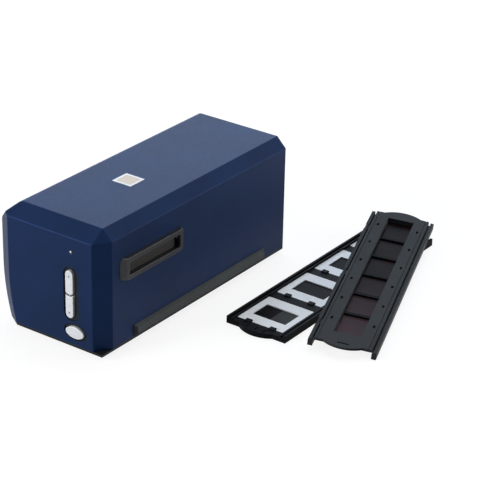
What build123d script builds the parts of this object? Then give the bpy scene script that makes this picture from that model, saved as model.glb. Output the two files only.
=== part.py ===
"""Film negative scanner: a long moulded case with a film slot across it, and its two film holders.

Millimetres, +Z up. The origin is on the table, under the middle of the case. The front face, with
the buttons, looks towards -Y. The film slot runs along X, through both side walls.
"""
from build123d import *
import os
from math import atan2, cos, radians, sin, sqrt, tan

# ---------------------------------------------------------------- case
case_width = 120.0          # flat right wall to the left wall, without its bulge
left_bulge = 0.8            # the left wall stands this much further out
case_length = 272.0
case_height = 119.0         # top of the case above the table
wall = 2.6
weld = 0.5                  # how far a rib, boss or chip runs into the piece it grows from
top_right_cut = 10.0        # 45-degree bevel along the top right edge
top_left_cut = 19.0         # broader bevel along the top left edge
left_cut_round = 6.0        # how far that broad bevel is rounded off
belly_height = 58.0         # below this the left wall curves in
belly_radius = 196.0
front_slope = 15.0          # how far back the top and right front bevels reach
front_drop = 10.0           # how far the front face's top edge lies below the top
front_side = 10.0           # how far its right edge lies inside the right wall
left_front_run = 10.0       # the same two sizes for the left front bevel
left_front_cut = 15.5
edge_round = 1.5            # small radius on the bevels' edges
foot_height = 4.0
foot_radius = 7.0
foot_taper = 0.8
foot_inset = 6.0            # from the foot's rim to the case's side
foot_y = 98.0
tray_thickness = 2.2
tray_lip = 1.6
tray_lip_height = 8.0
lip_end_gap = 1.0           # from a screw boss to the lip's end
vent_count = 9              # slots across the tray
vent_pitch = 7.0
vent_width = 2.6
vent_length = 32.0
vent_y = 60.0
screw_radius = 1.5
screw_core = 0.4            # a thread's core is this much less in radius
screw_head_radius = 2.8
screw_head_height = 1.6
head_gap = 0.1
cover_screw_length = 14.0
boss_radius = 4.5
boss_height = 34.0
boss_sink = 0.6             # how far the round bosses run into the right wall
boss_sink_left = 1.5        # and into the curved left wall
boss_bore = 16.0
boss_front = -112.0
boss_rear = 122.0

# ---------------------------------------------------------------- fits
fixed_gap = 0.2             # between pieces that are fastened together
skin_gap = 0.02             # a pin, rod or window seated in its own hole
running_gap = 0.05          # radial, shafts and bores that turn or slide
moving_gap = 0.35           # round a button or flap
seat_gap = 0.05             # face to face seats inside a holder

# ---------------------------------------------------------------- film slot
slot_y = -66.5              # middle of the slot
slot_z = 77.7
slot_side_gap = 3.5         # each side of a holder in the slot
slot_height = 12.6
slot_corner = 2.0
bezel_collar = 2.0          # the bezel's neck through the wall
bezel_stand = 4.0           # how far its crest stands off the wall
bezel_crest = 4.1           # width of the crest round the slot
bezel_flare_y = 4.8         # slope from the crest down to the wall
bezel_flare_z = 0.4
bezel_corner = 5.0
bezel_crest_corner = 3.6
channel_end_gap = 0.6       # from the channel to the inside of the wall
channel_floor_thickness = 2.5
channel_roof_thickness = 2.5
guide_gap = 0.7             # each side of a holder in the channel
mouth_depth = 8.5           # the wide part of the channel at each end
window_x = 38.0             # scanned window in the channel's floor and roof
window_y = 42.0
window_ledge = 2.0
diffuser_thickness = 1.5
leg_size = 5.0
leg_inset = 11.8            # from the middle of a leg to the channel's end
flap_thickness = 1.6
flap_barrel_radius = 1.3
flap_pin_radius = 0.6
flap_setback = 1.0          # flap's plane behind the outside of the wall
ear_reach = 2.2             # the ears end this far outside the flap's plane
ear_height = 4.0
ear_gap = 0.3               # between the ears and the slot's outline
ear_root = 4.8              # length of the ears that stands under the roof
detent_length = 24.0
detent_width = 5.0
detent_thickness = 0.4
detent_bump = 0.8
detent_bump_radius = 3.0
detent_pocket = 7.0         # width of the cut-outs for the spring and for its bump

# ---------------------------------------------------------------- front controls
pill_from_right = 33.9      # middle of the black escutcheon, in from the right wall
pill_above_power = 10.2     # its lower end above the power button's middle
pill_below_led = 15.1       # its upper end below the light
pill_width = 16.0
pill_depth = 4.0
pill_recess = 0.8           # its face lies this far behind the front face
pill_rim = 1.2              # flange behind the wall
button_shift = -0.8         # the long buttons stand left of the escutcheon's middle
button_width = 8.6
button_end = 2.9            # from the escutcheon's end to the buttons' end
button_split = -0.2         # curved gap between them, counted from the escutcheon's middle
button_split_radius = 6.6
button_split_gap = 1.7
button_stand = 1.6          # buttons stand this far off the front face
button_edge = 0.8
button_travel = 1.0
button_rim = 1.2
button_rim_thickness = 1.4
button_rim_end = 5.0        # the rim stops this far short of a button's ends
stem_radius = 2.2
power_from_right = 29.6
power_z = 18.9
power_half_x = 10.2
power_half_z = 5.7
power_tip_radius = 3.4      # the tight arcs at the oval's two ends
power_ring = 2.2            # black surround outside the button
power_rim = 0.6             # its flange behind the wall
power_dish = 0.8
power_dish_inset = 2.4
power_dish_slope = 40.0
led_from_right = 33.0
led_from_top = 23.3
led_radius = 2.0
led_flange = 1.0
led_flange_depth = 1.5
led_gap = 0.1               # from the pipe to the lamp
led_stand = 0.3
board_thickness = 1.6
board_setback = 12.4        # front board behind the front wall
board_from_right = 11.0
board_width = 47.0
board_low = 8.0
board_from_top = 15.0
switch_body = 6.0
switch_height = 3.5
switch_cap_radius = 1.7
switch_cap_height = 1.1
switch_clearance = 0.1      # left over under a pressed button
lamp_radius = 1.6
lamp_stand = 1.2
plug_width = 12.0           # connector behind the front board
plug_height = 6.0
plug_depth = 5.4
board_boss_radius = 3.0
board_screw_length = 6.0
board_boss_inset = 3.7      # from a screw's middle to the board's edge
board_boss_low = 35.0       # height of the lower screw at the power button's side

# ---------------------------------------------------------------- outside fittings
rail_front = -92.0          # plain rail low on the right wall
rail_rear = 103.0
rail_low = 6.4
rail_high = 17.6
rail_stand = 3.0
rail_top_bevel = 2.3
rail_bottom_bevel = 2.6
rail_end_bevel = 2.0
label_x = 4.1
label_y = -29.6
label_size_x = 21.0
label_size_y = 20.0
label_thickness = 0.3

# ---------------------------------------------------------------- rear electronics
usb_from_right = 48.0
usb_width = 12.0
usb_height = 11.0
usb_mouth_width = 8.4
usb_mouth_height = 7.6
usb_tongue_width = 5.6
usb_tongue_height = 3.1
dc_from_right = 26.0
dc_size = 11.0
dc_bore_radius = 3.2
dc_pin_radius = 1.0
socket_z = 34.0
socket_mouth = 4.6          # free depth in front of the tongue or the pin
socket_back = 1.2
socket_sink = 0.3           # sockets end this far inside the rear panel's face
socket_play = 0.4           # each socket's hole in the panel is this much looser than a fit
main_board_gap = 8.0        # main board in front of the rear panel
main_board_side = 12.0      # from the board's edge to the case's side
main_board_low = 14.0
main_board_from_top = 19.0
post_radius = 3.0
post_inset = 8.0            # from a post's middle to the board's corner
board_chips = [             # middle in x and z, width, height and thickness
    (4.0, 68.0, 20.0, 20.0, 2.2),
    (-24.0, 59.0, 12.0, 18.0, 1.6),
    (30.0, 74.0, 8.0, 16.0, 2.0),
]
board_header = (40.0, 5.0, 5.0)     # plug for the ribbon: width, height and depth
header_from_top = 7.5
board_cans = [(43.0, 48.0), (43.0, 60.0)]
can_radius = 4.0
can_length = 9.0

# ---------------------------------------------------------------- scan mechanism
chassis_thickness = 2.0
chassis_gap = 2.0           # between the plate and the tray's lips
chassis_front = -117.0
chassis_rear = 122.0
chassis_window_x = 28.0     # opening in the plate under the light's path
chassis_window_y = 130.0
chassis_window_middle = 5.0
pad_height = 2.0
pad_radius = 4.0
pad_inset = 5.5             # from a pad's middle to the plate's side
pad_stations = (-84.0, 8.0, 100.0)
rod_radius = 3.0
rod_left_x = -18.0
rod_right_x = 34.0
rod_z = 18.0
rod_front = -112.0
rod_rear = 121.0
clip_length = 6.0
clip_side = 3.0
clip_wall = 1.5
clip_inset = 2.0
carriage_right = 40.0
carriage_plate_z = 24.0
carriage_plate = 3.0
carriage_front = 10.0       # in front of the scan line
carriage_tail = 11.0        # behind the front of the sensor's wall
mirror_reach = 12.0         # the cheeks end this far behind the scan line
cheek = 3.5                 # thickness of the two side ribs
cheek_gap = 0.1
cheek_rise = 11.0           # over the optical axis, beside the mirror
arm_rib = 4.0
cradle_half = 14.0
cradle_inset = 4.0
bush_width = 11.0           # bearing blocks on the guide rods
bush_drop = 5.0
left_bushes = ((-9.0, 7.0), (124.0, 140.0))
right_bushes = ((50.0, 74.0),)
light_gate_x = 32.0         # opening in the spine for the light's path
light_gate_z = 24.0
optic_z = 40.0              # height of the optical axis
mirror_length = 44.0
mirror_width = 24.0
mirror_thickness = 2.0
mirror_bed = 3.0
spine_offset = 62.0         # behind the scan line
spine_thickness = 6.0
arm_thickness = 3.0
lamp_gap = 2.5              # lamp above the channel's roof
lamp_height = 7.5
lamp_half_y = 7.0
lamp_wall = 2.0
lamp_margin = 2.0           # the arm runs this far in front of the lamp
lens_offset = 80.0
lens_length = 32.0
lens_radius = 11.0
lens_step = 2.0
lens_nose = 3.0
lens_bore = 7.5
lens_glass = 4.0
ccd_offset = 143.0
ccd_wall = 4.0
ccd_wall_rise = 12.0
ccd_gate_x = 44.0
ccd_gate_z = 7.0
ccd_length = 54.0
ccd_height = 10.0
ccd_depth = 4.0
ccd_board_rise = 15.0
nut_offset = 72.0
nut_length = 14.0
nut_half = 6.0
screw_z = 24.0
lead_radius = 2.5
journal_step = 1.0
motor_radius = 10.0
motor_wall_gap = 3.2        # between the motor's can and the left wall
motor_length = 20.0
motor_edge = 1.5
motor_y = 92.0
bracket_thickness = 1.5
bracket_foot = 14.0
bearing_half = 5.0
bearing_length = 6.0
bearing_clearance = 4.0     # from the bearing to the nut at the end of its travel

# ---------------------------------------------------------------- slide holder
slide_holder_x = 134.0      # where it lies on the table
slide_holder_y = 113.5
slide_holder_width = 64.0
slide_holder_length = 251.0
slide_holder_height = 7.0
slide_count = 4
slide_pitch = 61.5
slide_size = 50.0
slide_thickness = 2.0
slide_window_x = 36.0
slide_window_y = 23.0
slide_corner = 1.5
slide_floor = 2.4
slide_shift = -1.0          # the mounts sit this far left of the middle
slide_light_x = 3.0         # the floor's windows are this much wider than the film
slide_light_y = 14.0
crossbar_rise = 0.4         # cross bars above the mounts
grip_width = 36.0
grip_reach = 6.0
grip_rib = 1.6
grip_rib_pitch = 9.0
grip_rib_rise = 1.2
clip_x = 13.0
clip_width = 6.0
clip_post = 3.0
clip_hook = 2.0
clip_rise = 1.6
ridge = 2.2                 # each of the two ridges along a side rail
ridge_step = 0.6

# ---------------------------------------------------------------- strip holder
strip_x = 171.9             # middle of the holder, leaning on the slide holder
strip_y = 123.5
strip_yaw = 20.2            # degrees anticlockwise from +Y
strip_lift = 0.15           # clearance over the edge it leans on
strip_corner_lift = 0.1
strip_width = 62.0
strip_length = 258.0
strip_height = 8.0
strip_floor = 3.2
strip_rail = 3.2            # wall along each long side
strip_rail_height = 6.2
strip_foot_length = 6.0     # the corner feet, full width beside the cover
strip_foot_step = 1.0
strip_cover_gap = 1.6       # between a side wall and the cover
strip_end_gap = 1.0         # the cover is this much shorter at each end
strip_bevel = 1.0
strip_lip = 2.2             # thickness of the cover's grips
finger_room = 9.5           # the base's floor stops short under the near grip
frame_pitch = 38.0
frame_count = 6
frame_shift = 6.0           # the row of frames lies this much towards the far end
frame_x = 24.0
frame_y = 34.0
trough_width = 25.4
trough_depth = 3.0
trough_near = 5.0           # trough beyond the first frame
trough_far = 0.5            # and beyond the last
notch_x = 19.4
notch_width = 2.2
notch_length = 4.6
notch_depth = 1.5
groove_inset = 2.4
groove_width = 1.0
groove_depth = 0.6
film_width = 35.0
film_thickness = 0.16
film_end = 1.5
hinge_radius = 1.6
hinge_pin_radius = 0.75
hinge_z = 4.6
hinge_length = 9.0
hinge_pin_reach = 4.0       # the pins run this far into the base each side
hinge_leaf = 1.6
hinge_positions = (-96.0, 0.0, 96.0)
grip_slot_width = 10.6      # slot across the near grip
grip_slot_length = 2.2
grip_slot_setback = 1.5     # its middle, in from the holder's end
strip_grip_width = 36.0
strip_grip_reach = 6.5


def left_tuck(z):
    """How far the left wall has curved in at a height below the belly line."""
    fall = max(0.0, belly_height - z)
    return belly_radius - sqrt(belly_radius ** 2 - fall ** 2)


# ---------------------------------------------------------------- worked out from the above
half_width = case_width / 2
front = -case_length / 2
rear = case_length / 2
cover_low = foot_height + tray_thickness
slot_low = slot_z - slot_height / 2
slot_high = slot_z + slot_height / 2
left_wall = -half_width - left_bulge
left_low = left_wall + left_tuck(cover_low)     # outside of the left wall at the tray
tray_left = left_low + wall + fixed_gap
tray_right = half_width - wall - fixed_gap
holder_width = max(slide_holder_width, strip_width)
guide_width = holder_width + 2 * guide_gap
slot_width = holder_width + 2 * slot_side_gap
channel_half = half_width - wall - channel_end_gap
channel_front = slot_y - slot_width / 2 - channel_floor_thickness
channel_back = slot_y + slot_width / 2 + channel_floor_thickness
roof_top = slot_high + channel_roof_thickness
guide_face = slot_y - guide_width / 2
detent_seat = guide_face - detent_bump - detent_thickness
flap_axis_z = slot_high - moving_gap - flap_barrel_radius
wall_inside = front + wall
board_y = wall_inside + board_setback
board_back = board_y + board_thickness
board_high = case_height - board_from_top
board_right = half_width - board_from_right
board_left = board_right - board_width
pill_face = front + pill_recess
pill_back = pill_face + pill_depth
rim_y = pill_back + moving_gap
switch_top = board_y - switch_height - switch_cap_height
stem_end = switch_top - button_travel - switch_clearance
front_skin = (front - 1, wall_inside + 1)       # a cutter's reach through the front wall
power_x = half_width - power_from_right
led_x = half_width - led_from_right
led_z = case_height - led_from_top
pill_x = half_width - pill_from_right
pill_low = power_z + pill_above_power
pill_high = led_z - pill_below_led
pill_z = (pill_low + pill_high) / 2
button_x = pill_x + button_shift
split_z = pill_z + button_split
button_length = pill_high - pill_low - 2 * button_end
usb_x = half_width - usb_from_right
dc_x = half_width - dc_from_right
panel_y = rear - wall
main_board_y = panel_y - main_board_gap - board_thickness
main_board_back = main_board_y + board_thickness
main_board_high = case_height - main_board_from_top
main_board_left = left_low + main_board_side
main_board_right = half_width - main_board_side
socket_end = rear - socket_sink
chassis_low = cover_low + pad_height
chassis_top = chassis_low + chassis_thickness
chassis_left = tray_left + tray_lip + chassis_gap
chassis_right = tray_right - tray_lip - chassis_gap
screw_x = left_wall + left_tuck(screw_z) + wall + motor_radius + motor_wall_gap
line_home_y = slot_y + window_y / 2     # scan line at the rear end of its travel
carriage_travel = window_y
mirror_half = mirror_length / 2
cheek_out = mirror_half + cheek_gap + cheek
carriage_top = carriage_plate_z + carriage_plate
bearing_y = line_home_y + nut_offset - carriage_travel - bearing_clearance - bearing_length
journal_radius = lead_radius - journal_step
strip_near = -strip_length / 2
everywhere = 600.0


def block(x, y, z):
    """A box; x, y and z are its (low, high) limits."""
    centre = [(low + high) / 2 for low, high in (x, y, z)]
    size = [high - low for low, high in (x, y, z)]
    return Pos(*centre) * Box(*size)


def around(middle, size):
    """The limits of a length centred on a point."""
    return (middle - size / 2, middle + size / 2)


def along_y(face, start, end):
    """A face drawn in (x, z), extruded along Y between two stations."""
    return Pos(0, start, 0) * extrude(Plane.XZ * face, amount=end - start, dir=(0, 1, 0))


def rod_y(x, z, start, end, radius):
    """A round bar along Y."""
    return along_y(Pos(x, z) * Circle(radius), start, end)


def rod_z_between(x, y, low, high, radius):
    """A round bar along Z."""
    return Pos(x, y, (low + high) / 2) * Cylinder(radius, high - low)


def beyond(point, normal, inset=0.0):
    """All of space outside a flat face, which may be moved inwards by inset."""
    outward = Vector(*normal).normalized()
    face = Plane(origin=Vector(*point) - outward * inset, z_dir=outward)
    return extrude(face * Rectangle(everywhere, everywhere), amount=everywhere)


# ---------------------------------------------------------------- case
def case_profile(inset=0.0, low=cover_low, square=False):
    """The case from the front, in (x, z): flat right wall, bevelled top, curved-in left wall."""
    right = half_width - inset
    left = left_wall + inset
    top = case_height - inset
    shorter = inset * (2 - sqrt(2))
    right_cut = top_right_cut - shorter
    left_cut = top_left_cut - shorter
    low_left = (left + left_tuck(low), low)
    if square:
        corner = [(left, top)]
    else:
        corner = [(left + left_cut, top), (left, top - left_cut)]
    points = [(right, low), (right, top - right_cut), (right - right_cut, top)] + corner
    edge = Polyline(*points, (left, belly_height))
    edge += TangentArc((left, belly_height), low_left, tangent=(0, -1))
    edge += Line(low_left, (right, low))
    face = make_face(edge)
    if not square:
        ends = [v for v in face.vertices() for x, z in corner if abs(v.X - x) + abs(v.Y - z) < 0.01]
        face = fillet(ends, left_cut_round)
    return face


def case_solid(inset=0.0, low=cover_low, back=rear):
    """The case's outer form, or the space inside it when inset is the wall."""
    body = along_y(case_profile(inset, low), front + inset, back)
    lean = atan2(left_front_cut, left_front_run)
    kink = front + left_front_run + inset * tan(lean / 2)
    side = case_profile(inset, low, square=True)
    slant = Vector(left_front_cut, -left_front_run, 0)
    nose = Pos(0, kink, 0) * extrude(Plane.XZ * side, amount=slant.length, dir=slant)
    body &= along_y(side, kink, back) + nose
    top_back = Vector(half_width - front_side, front + front_slope, case_height)
    side_back = Vector(half_width, front + front_slope, case_height - front_drop)
    tip = Vector(half_width - front_side, front, case_height - front_drop)
    body -= beyond(tip, (0, -front_drop, front_slope), inset)
    body -= beyond(tip, (front_slope, -front_side, 0), inset)
    facet = (side_back - tip).cross(top_back - tip)
    body -= beyond(tip, facet, inset)
    return body


def screw_places():
    """The four screws that hold the tray to the cover."""
    right = half_width - wall - boss_radius + boss_sink
    left = left_low + wall + boss_radius - boss_sink_left
    return [(x, y) for x in (left, right) for y in (boss_front, boss_rear)]


def front_board_screws():
    """The four screws of the front board, in (x, z)."""
    left = board_left + board_boss_inset
    right = board_right - board_boss_inset
    high = board_high - board_boss_inset
    return [(left, board_low + board_boss_inset), (left, high), (right, board_boss_low), (right, high)]


def slot_opening(depth_from, depth_to, margin):
    """The slot's rounded outline, grown by a margin, between two X stations."""
    size_y = slot_width + 2 * margin
    size_z = slot_height + 2 * margin
    outline = Plane.YZ * Pos(slot_y, slot_z) * RectangleRounded(size_y, size_z, slot_corner + margin)
    return Pos(depth_from, 0, 0) * extrude(outline, amount=depth_to - depth_from, dir=(1, 0, 0))


def pill_outline(grow=0.0):
    """The upright round-ended outline of the escutcheon round the two long buttons."""
    long = pill_high - pill_low + 2 * grow
    return Pos(pill_x, pill_z) * Rot(0, 0, 90) * SlotOverall(long, pill_width + 2 * grow)


def power_oval(grow=0.0):
    """The power button's oval, of four arcs that meet smoothly, grown by a margin."""
    tip = power_tip_radius
    side = ((power_half_x - tip) ** 2 + power_half_z ** 2 - tip ** 2) / (2 * (power_half_z - tip))
    tip_x = power_half_x - tip
    side_z = side - power_half_z
    share = (side + grow) / (side - tip)
    x = tip_x * share
    z = side_z * (share - 1)
    high = (0, power_half_z + grow)
    right = (power_half_x + grow, 0)
    edge = ThreePointArc((-x, z), high, (x, z)) + ThreePointArc((x, z), right, (x, -z))
    edge += ThreePointArc((x, -z), (0, -high[1]), (-x, -z))
    edge += ThreePointArc((-x, -z), (-right[0], 0), (-x, z))
    return Pos(power_x, power_z) * make_face(edge)


def upper_cover():
    """Blue shell: front, top and both sides in one moulding, open below and behind."""
    shell = case_solid()
    soft = [e for e in shell.edges()
            if e.center().Y < front + front_slope + 2 and e.bounding_box().max.Z > cover_low + 8]
    shell = fillet(soft, edge_round)
    shell -= case_solid(inset=wall, low=cover_low - 1, back=rear + 1)
    neck = bezel_collar + fixed_gap
    shell -= slot_opening(-everywhere, 0, neck) + slot_opening(0, everywhere, neck)
    shell -= along_y(pill_outline(fixed_gap), *front_skin)
    shell -= along_y(power_oval(power_ring + fixed_gap), *front_skin)
    shell -= rod_y(led_x, led_z, *front_skin, led_radius + skin_gap)
    inside = case_solid(inset=wall - weld)
    for x, y in screw_places():
        boss = rod_z_between(x, y, cover_low + fixed_gap, cover_low + boss_height, boss_radius)
        shell += boss & inside
        shell -= rod_z_between(x, y, cover_low, cover_low + boss_bore, screw_radius)
    for x, z in front_board_screws():
        shell += rod_y(x, z, wall_inside - weld, board_y - fixed_gap, board_boss_radius)
        shell -= rod_y(x, z, board_y - board_screw_length - weld, board_y, screw_radius - screw_core)
    return shell


def base_tray():
    """Black floor of the case, its edge showing under the cover, with a lip inside the walls."""
    left = left_wall + left_tuck(foot_height)
    tray = block((left, half_width), (front, rear), (foot_height, cover_low))
    tray -= beyond((left + left_front_cut, front, 0), (-left_front_run, -left_front_cut, 0))
    lip_z = (foot_height, cover_low + tray_lip_height)
    lip_y = (boss_front + boss_radius + lip_end_gap, boss_rear - boss_radius - lip_end_gap)
    tray += block((tray_left, tray_left + tray_lip), lip_y, lip_z)
    tray += block((tray_right - tray_lip, tray_right), lip_y, lip_z)
    for x, y in chassis_pads():
        tray += rod_z_between(x, y, foot_height, chassis_low, pad_radius)
        tray -= rod_z_between(x, y, chassis_low - pad_height - weld, chassis_low, screw_radius)
    for x, y in screw_places():
        tray -= rod_z_between(x, y, 0, cover_low + weld, screw_radius + skin_gap)
        tray -= rod_z_between(x, y, 0, foot_height + screw_head_height, screw_head_radius + head_gap)
    for row in range(vent_count):
        y = vent_y + (row - (vent_count - 1) / 2) * vent_pitch
        tray -= block(around(0, vent_length), around(y, vent_width), (0, cover_low + weld))
    return tray


def chassis_pads():
    """Where the chassis plate stands on the tray."""
    sides = (chassis_left + pad_inset, chassis_right - pad_inset)
    return [(x, y) for x in sides for y in pad_stations]


def main_board_posts():
    """Posts between the main board and the rear panel, in (x, z)."""
    sides = (main_board_left + post_inset, main_board_right - post_inset)
    heights = (main_board_low + post_inset, main_board_high - post_inset)
    return [(x, z) for x in sides for z in heights]


def rear_panel():
    """Black panel that closes the case behind, with holes for the two sockets."""
    outline = case_profile(inset=wall + fixed_gap, low=cover_low + fixed_gap)
    panel = along_y(outline, panel_y, rear)
    through = (panel_y - 1, rear + 1)
    play = 2 * fixed_gap + socket_play
    panel -= block(around(usb_x, usb_width + play), through, around(socket_z, usb_height + play))
    panel -= block(around(dc_x, dc_size + play), through, around(socket_z, dc_size + play))
    for x, z in main_board_posts():
        panel += rod_y(x, z, main_board_back, panel_y + weld, post_radius)
    return panel


def slot_bezel(side):
    """Flared frame round the film slot, with a neck through the wall; side is +1 right, -1 left."""
    crest_y = slot_width + 2 * bezel_crest
    crest_z = slot_height + 2 * bezel_crest
    foot = RectangleRounded(crest_y + 2 * bezel_flare_y, crest_z + 2 * bezel_flare_z, bezel_corner)
    crest = RectangleRounded(crest_y, crest_z, bezel_crest_corner)
    upright = Plane.YZ * Pos(slot_y, slot_z)
    body = loft([Pos(half_width, 0, 0) * upright * foot,
                 Pos(half_width + bezel_stand, 0, 0) * upright * crest], ruled=True)
    body += slot_opening(half_width - wall, half_width + weld, bezel_collar)
    body -= slot_opening(half_width - wall - 1, half_width + bezel_stand + 1, 0)
    if side < 0:
        body = Pos(-left_bulge, 0, 0) * mirror(body, about=Plane.YZ)
    return body


def side_rail():
    """Plain rail low on the right wall, with bevelled top, bottom and ends."""
    out = half_width + rail_stand
    section = make_face(Polyline((half_width, rail_low), (out, rail_low + rail_bottom_bevel),
                                 (out, rail_high - rail_top_bevel), (half_width, rail_high), close=True))
    rail = along_y(section, rail_front, rail_rear)
    rail -= beyond((out, rail_front + rail_end_bevel, 0), (rail_end_bevel, -rail_stand, 0))
    rail -= beyond((out, rail_rear - rail_end_bevel, 0), (rail_end_bevel, rail_stand, 0))
    return rail


def rubber_feet():
    """Four round feet, slightly tapered."""
    foot = Pos(0, 0, foot_height / 2) * Cone(foot_radius - foot_taper, foot_radius, foot_height)
    left = left_wall + left_tuck(foot_height) + foot_radius + foot_inset
    right = half_width - foot_radius - foot_inset
    return [Pos(x, y, 0) * foot for x in (left, right) for y in (-foot_y, foot_y)]


def pan_screw(length):
    """A screw standing on its head, shank up."""
    head = Pos(0, 0, screw_head_height / 2) * Cylinder(screw_head_radius, screw_head_height)
    shank = Pos(0, 0, screw_head_height + length / 2) * Cylinder(screw_radius - skin_gap, length)
    return head + shank


def cover_screws():
    """The four screws up through the tray into the cover's bosses."""
    return [Pos(x, y, foot_height) * pan_screw(cover_screw_length) for x, y in screw_places()]


def chassis_screws():
    """Screws down through the chassis into the tray's pads."""
    screw = Rot(180, 0, 0) * pan_screw(chassis_thickness + pad_height)
    return [Pos(x, y, chassis_top + screw_head_height) * screw for x, y in chassis_pads()]


def top_label():
    """Thin bare label on the top."""
    return block(around(label_x, label_size_x), around(label_y, label_size_y),
                 (case_height, case_height + label_thickness))


# ---------------------------------------------------------------- film channel
def channel_floor():
    """Floor and side guides of the film channel, on four legs."""
    body = block((-channel_half, channel_half), (channel_front, channel_back),
                 (slot_low - channel_floor_thickness, slot_high))
    body -= block((-everywhere, everywhere), around(slot_y, guide_width), (slot_low, everywhere))
    for side in (-1, 1):
        mouth = sorted((side * (channel_half - mouth_depth), side * everywhere))
        body -= block(mouth, around(slot_y, slot_width), (slot_low, everywhere))
    body -= block(around(0, window_x), around(slot_y, window_y), (0, everywhere))
    pocket = around(slot_z, detent_pocket)
    body -= block(around(0, detent_length + 2 * moving_gap),
                  (channel_front - 1, detent_seat + detent_thickness), pocket)
    body -= block(around(0, detent_pocket), (detent_seat, guide_face + 1), pocket)
    for side in (-1, 1):
        for y in (channel_front + leg_size / 2, channel_back - leg_size / 2):
            body += block(around(side * (channel_half - leg_inset), leg_size), around(y, leg_size),
                          (chassis_top, slot_low - weld))
    return body


def flap_x(side):
    """Plane of a dust flap, just behind the outside of its wall."""
    return half_width - flap_setback if side > 0 else left_wall + flap_setback


def flap_ears(side):
    """Two arms of the roof that reach out into the slot and carry a flap's pin."""
    tip = flap_x(side) + side * ear_reach
    root = side * (channel_half - ear_root)
    high = slot_high - fixed_gap
    ears = []
    for edge in (-1, 1):
        span = sorted((slot_y + edge * guide_width / 2, slot_y + edge * (slot_width / 2 - ear_gap)))
        arm = block(sorted((root, tip)), span, (high - ear_height, high))
        ears.append(arm & slot_opening(min(root, tip), max(root, tip), -ear_gap))
        stem = sorted((root, side * channel_half))
        ears.append(block(stem, span, (high - ear_height / 2, slot_high + weld)))
    return ears


def channel_roof():
    """Lid of the film channel: window with a ledge for the diffuser, and the flaps' ears."""
    body = block((-channel_half, channel_half), (channel_front, channel_back), (slot_high, roof_top))
    body -= block(around(0, window_x), around(slot_y, window_y), (0, everywhere))
    step = 2 * window_ledge
    body -= block(around(0, window_x + step), around(slot_y, window_y + step),
                  (roof_top - diffuser_thickness, everywhere))
    for side in (-1, 1):
        body += flap_ears(side)
        body -= rod_y(flap_x(side), flap_axis_z, channel_front - 1, channel_back + 1,
                      flap_pin_radius + skin_gap)
    return body


def diffuser_window():
    """Opal plate in the roof, under the lamp."""
    step = 2 * window_ledge - 2 * fixed_gap
    return block(around(0, window_x + step), around(slot_y, window_y + step),
                 (roof_top - diffuser_thickness, roof_top))


def detent_spring():
    """Leaf spring with a rounded bump that clicks into a holder's notches."""
    height = around(slot_z, detent_width)
    leaf = block(around(0, detent_length), (detent_seat, detent_seat + detent_thickness), height)
    middle = guide_face + detent_bump - detent_bump_radius
    bump = rod_z_between(0, middle, *height, detent_bump_radius)
    return leaf + (bump & block((-everywhere, everywhere), (detent_seat, everywhere), (0, everywhere)))


def dust_flap(side):
    """Flap that hangs from a pin at the slot's top and swings both ways."""
    span = (guide_face + moving_gap, guide_face + guide_width - moving_gap)
    x = flap_x(side)
    flap = block(around(x, flap_thickness), span, (slot_low + moving_gap, flap_axis_z))
    flap += rod_y(x, flap_axis_z, *span, flap_barrel_radius)
    return flap - rod_y(x, flap_axis_z, span[0] - 1, span[1] + 1, flap_pin_radius + running_gap)


def flap_pins():
    """One long pin for each flap, held in the roof's ears."""
    reach = slot_width / 2 - ear_gap
    return [rod_y(flap_x(side), flap_axis_z, slot_y - reach, slot_y + reach, flap_pin_radius)
            for side in (-1, 1)]


# ---------------------------------------------------------------- front controls
def long_button_outline(upper, grow=0.0):
    """One half of the long pill, cut by the curved gap between the two buttons."""
    size = (button_length + 2 * grow, button_width + 2 * grow)
    pill = Pos(button_x, pill_z) * Rot(0, 0, 90) * SlotOverall(*size)
    radius = button_split_radius + (grow if upper else button_split_gap - grow)
    middle = split_z + button_split_radius
    above = Pos(button_x, middle) * Circle(radius)
    above += Pos(button_x, middle + button_length / 2) * Rectangle(2 * radius, button_length)
    return pill & above if upper else pill - above


def button_heights(upper):
    """Lowest and highest Z of a long button, on its middle line."""
    if upper:
        return (split_z, pill_z + button_length / 2)
    return (pill_z - button_length / 2, split_z - button_split_gap)


def scan_button(upper):
    """Long push button: domed face, rim behind the escutcheon and a stem to its switch."""
    rim = (rim_y, rim_y + button_rim_thickness)
    face_y = front - button_stand
    button = along_y(long_button_outline(upper), face_y, rim[1])
    button = fillet([e for e in button.edges() if e.center().Y < face_y + 0.01], button_edge)
    low, high = button_heights(upper)
    button += block(around(button_x, button_width + 2 * button_rim), rim,
                    (low + button_rim_end, high - button_rim_end))
    return button + rod_y(button_x, (low + high) / 2, rim_y, stem_end, stem_radius)


def power_button():
    """Oval push button with a shallow dish."""
    rim = (rim_y, rim_y + button_rim_thickness)
    face_y = front - button_stand
    button = along_y(power_oval(), face_y, rim[1])
    button = fillet([e for e in button.edges() if e.center().Y < face_y + 0.01], button_edge)
    dish = Pos(0, face_y, 0) * Plane.XZ * power_oval(-power_dish_inset)
    button -= extrude(dish, amount=-power_dish, taper=power_dish_slope)
    wings = Pos(power_x, power_z) * Rectangle(2 * power_half_x + 2 * button_rim, power_half_z)
    button += along_y(wings, *rim)
    return button + rod_y(power_x, power_z, rim_y, stem_end, stem_radius)


def button_escutcheon():
    """Black pill-shaped insert round the two long buttons."""
    body = along_y(pill_outline(), pill_face, pill_back)
    body += along_y(pill_outline(pill_rim), wall_inside + skin_gap, pill_back)
    for upper in (False, True):
        body -= along_y(long_button_outline(upper, moving_gap), front, rim_y)
    return body


def power_escutcheon():
    """Black oval insert round the power button."""
    body = along_y(power_oval(power_ring), pill_face, pill_back)
    body += along_y(power_oval(power_ring + power_rim), wall_inside + skin_gap, pill_back)
    return body - along_y(power_oval(moving_gap), front, rim_y)


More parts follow.
